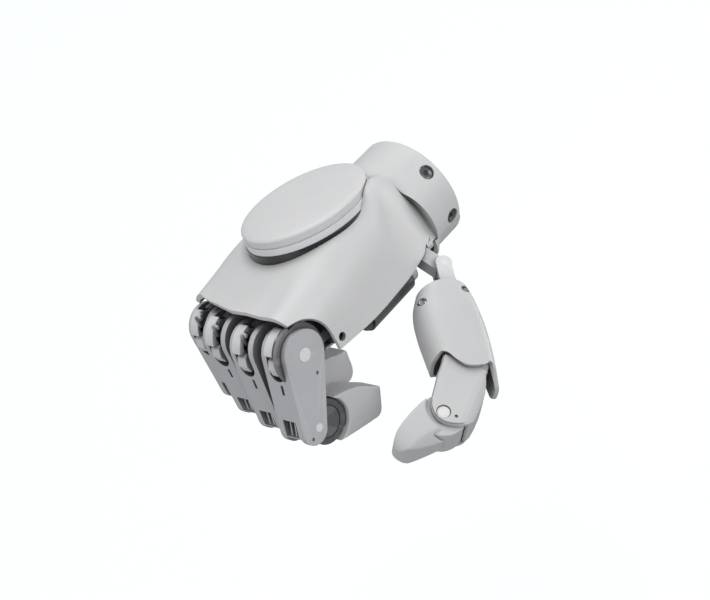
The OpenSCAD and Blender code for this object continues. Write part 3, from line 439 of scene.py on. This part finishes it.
for f in FINGERS:
    finish(f + "_proximal", finger_paint, 0.0005, 3, flat=1)
    soften(f + "_horn", link_alloy, 0.0003, 6)
    soften(f + "_crank", link_alloy, 0.0003, 4)
    finish(f + "_rod", rod_steel, 0.00015)
    finish(f + "_core", core_dark, 0.0003)
    soften(f + "_tip", tip_white, 0.0004, 10)
    for q in ("_mcp_pin", "_pip_pin"):
        finish(f + q, turned(f + q + "_steel", (0.985, 0.985, 0.985), mid(f + q), (0, 1, 0), metallic=0.1))


# ---------------------------------------------------------------- floor and light
def floor_material():
    k = Mat("pale_floor")
    cloud = k.noise(1.5, 3, 0.5)
    col = k.ramp(cloud, [(0.2, (0.118, 0.123, 0.123)), (0.8, (0.122, 0.127, 0.127))])
    ro = k.math("ADD", k.math("MULTIPLY", k.noise(6, 3, 0.6), 0.1), 0.7)
    m = k.done(col, ro)
    k.b.inputs["Emission Color"].default_value = (0.955, 1.0, 1.0, 1)
    k.b.inputs["Emission Strength"].default_value = 0.92
    return m


me = bpy.data.meshes.new("floor")
Z0 = cad_lo.z - 0.160
ringn = 64
verts = [(0, 0, Z0)] + [(7 * math.cos(2 * math.pi * i / ringn), 7 * math.sin(2 * math.pi * i / ringn), Z0) for i in range(ringn)]
me.from_pydata(verts, [], [(0, 1 + i, 1 + (i + 1) % ringn) for i in range(ringn)])
floor = bpy.data.objects.new("floor", me)
bpy.context.scene.collection.objects.link(floor)
me.materials.append(floor_material())
floor.visible_diffuse = False
floor.visible_glossy = False

world = bpy.data.worlds.new("studio")
bpy.context.scene.world = world
world.use_nodes = True
wt = world.node_tree
wt.nodes.clear()
wo = wt.nodes.new("ShaderNodeOutputWorld")
bg = wt.nodes.new("ShaderNodeBackground")
tc = wt.nodes.new("ShaderNodeTexCoord")
sx = wt.nodes.new("ShaderNodeSeparateXYZ")
mp = wt.nodes.new("ShaderNodeMapRange")
cr = wt.nodes.new("ShaderNodeValToRGB")
lp = wt.nodes.new("ShaderNodeLightPath")
mx = wt.nodes.new("ShaderNodeMix")
mx.data_type = "RGBA"
wt.links.new(tc.outputs["Generated"], sx.inputs[0])
wt.links.new(sx.outputs[2], mp.inputs["Value"])
mp.inputs["From Min"].default_value = -1
mp.inputs["From Max"].default_value = 1
wt.links.new(mp.outputs[0], cr.inputs[0])
el = cr.color_ramp.elements
el[0].position, el[0].color = 0.0, (0.22, 0.225, 0.23, 1)
el[1].position, el[1].color = 1.0, (0.62, 0.625, 0.63, 1)
e3 = el.new(0.5); e3.color = (0.36, 0.365, 0.37, 1)
wt.links.new(lp.outputs["Is Camera Ray"], mx.inputs[0])
wt.links.new(cr.outputs[0], mx.inputs[6])
mx.inputs[7].default_value = (0.955, 0.985, 0.985, 1)
wt.links.new(mx.outputs[2], bg.inputs[0])
bg.inputs[1].default_value = 1.0
wt.links.new(bg.outputs[0], wo.inputs[0])


def area(name, r, u, v, dist, size, power, tint=(1, 1, 1)):
    d = bpy.data.lights.new(name, "AREA")
    d.shape = "DISK"
    d.size = size
    d.energy = power
    d.color = tint
    o = bpy.data.objects.new(name, d)
    bpy.context.scene.collection.objects.link(o)
    dirn = (R * r + U * u + V * v).normalized()
    o.location = PIVOT + dirn * dist
    o.rotation_mode = "QUATERNION"
    o.rotation_quaternion = dirn.to_track_quat("Z", "Y")
    return o


area("key", -0.30, 0.90, 0.25, 1.2, 0.9, 4.1)
area("front", 0.70, 0.25, 0.70, 1.4, 0.9, 5.4)
area("rim", 0.80, 0.35, -0.5, 1.1, 0.6, 1.8)
area("low", -0.35, -0.75, 0.45, 1.2, 0.9, 2.6)
for o in bpy.context.scene.objects:
    if o.type == "LIGHT":
        o.visible_camera = False
bpy.context.scene.view_settings.view_transform = "Standard"
bpy.context.scene.view_settings.look = "None"
